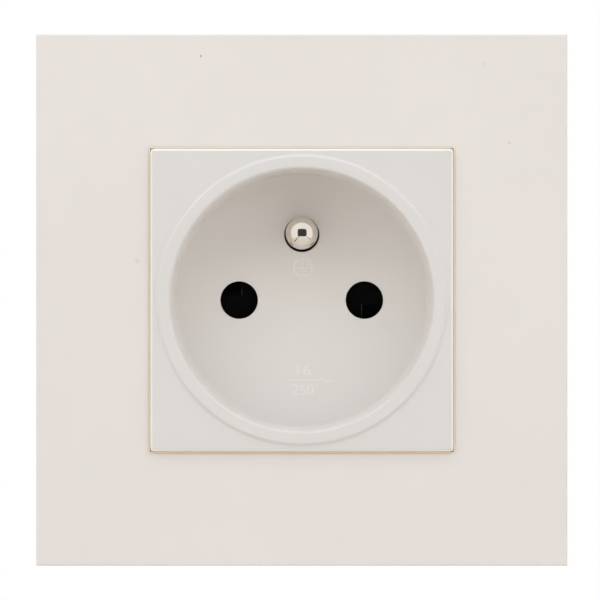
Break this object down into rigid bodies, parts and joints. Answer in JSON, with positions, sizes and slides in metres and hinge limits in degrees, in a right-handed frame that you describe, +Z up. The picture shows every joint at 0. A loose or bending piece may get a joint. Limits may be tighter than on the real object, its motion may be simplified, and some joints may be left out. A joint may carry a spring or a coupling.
{
  "type": "flush wall socket",
  "caption": "Flush wall socket: square surround plate, white insert with a round shuttered well and an earth pin, steel bridge for a wall box and screw terminals behind.",
  "frame": {"origin": "centre of the socket on the plane of the wall, midway between the wall screws", "axes": "+X right and +Z up as seen from the room, +Y into the wall; the face looks along -Y"},
  "size_m": [0.079, 0.0386, 0.079],
  "materials": {
    "plate_lacquer": "satin lacquer, warm white",
    "carrier_tan": "moulded, tan",
    "bridge_steel": "zinc plated sheet",
    "insert_white": "fine satin moulding, white",
    "shutter_black": "moulded, black",
    "spring_steel": "bright spring wire and strip",
    "guide_grey": "moulded, dark grey",
    "pin_nickel": "polished nickel plate",
    "contact_brass": "rolled strip",
    "housing_white": "moulded, off-white",
    "screw_steel": "zinc plated"
  },
  "bodies": {
    "socket": {"surround_plate": "plate_lacquer", "plate_carrier": "carrier_tan", "mounting_bridge": "bridge_steel", "socket_insert": "insert_white", "shutter_spring": "spring_steel", "shutter_guide": "guide_grey", "earth_pin": "pin_nickel", "earth_bar": "contact_brass", "live_contact": "contact_brass", "neutral_contact": "contact_brass", "live_grip_spring": "spring_steel", "neutral_grip_spring": "spring_steel", "rear_housing": "housing_white", "live_clamp_plate": "screw_steel", "neutral_clamp_plate": "screw_steel", "earth_clamp_plate": "screw_steel", "live_terminal_screw": "screw_steel", "neutral_terminal_screw": "screw_steel", "earth_terminal_screw": "screw_steel"},
    "shutter": {"shutter_rotor": "shutter_black"}
  },
  "joints": [
    {"name": "shutter_turn", "type": "hinge", "parent": "socket", "child": "shutter", "pos_m": [0, 0.00935, 0], "axis": [0, -1, 0], "range_deg": [0, 40], "stiffness_Nm_per_rad": 0.002, "springref_deg": -34.38, "deforming": ["shutter_spring"]}
  ]
}
